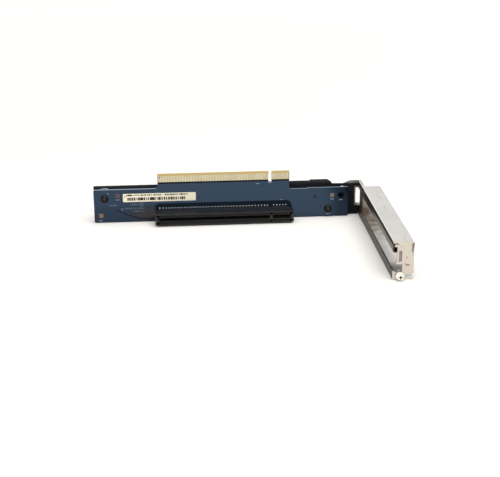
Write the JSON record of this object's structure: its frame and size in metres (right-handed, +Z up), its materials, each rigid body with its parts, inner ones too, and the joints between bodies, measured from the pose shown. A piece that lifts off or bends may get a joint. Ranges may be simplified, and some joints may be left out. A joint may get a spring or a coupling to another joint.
{
  "type": "pcie riser card with bracket and slot cage",
  "caption": "Blue riser board with a card-edge tab, a long black card slot on its face, a black backing bracket and a plated sheet cage for the card's bracket.",
  "frame": {"origin": "middle of the part's box, on the plane that the bracket and cage rest on", "axes": "+X along the board towards the slot cage, +Y from the card slot to the backing bracket, +Z up to the card-edge tab"},
  "size_m": [0.1844, 0.1244, 0.032],
  "materials": {
    "solder_mask": "glossy blue solder mask over glass-epoxy laminate",
    "gold": "gold-plated copper contact fingers",
    "label_paper": "satin cream label with plain grey bars",
    "bare_copper": "bare tinned copper pads",
    "black_nylon": "moulded black glass-filled nylon",
    "contact_alloy": "tin-plated bronze spring strip",
    "black_paint": "satin black powder-coated sheet steel",
    "spacer_metal": "nickel-plated brass",
    "black_screw": "black-oxide steel screw",
    "plated_sheet": "bright plated sheet steel, lightly scuffed",
    "rivet_steel": "plain steel rivet",
    "bright_screw": "bright zinc-plated steel screw"
  },
  "bodies": {
    "root": {"riser_board": "solder_mask", "edge_contacts_front": "gold", "edge_contacts_back": "gold", "label_sticker": "label_paper", "square_pads": "bare_copper", "slot_housing": "black_nylon", "slot_contacts_upper": "contact_alloy", "slot_contacts_lower": "contact_alloy", "carrier_bracket": "black_paint", "board_spacer_left": "spacer_metal", "board_spacer_right": "spacer_metal", "board_screw_left": "black_screw", "board_screw_right": "black_screw", "slot_cage": "plated_sheet", "upper_guide_rail": "plated_sheet", "cage_rivet_lower": "rivet_steel", "cage_rivet_upper": "rivet_steel", "card_screw_washer": "bright_screw", "card_screw": "bright_screw"}
  },
  "joints": []
}
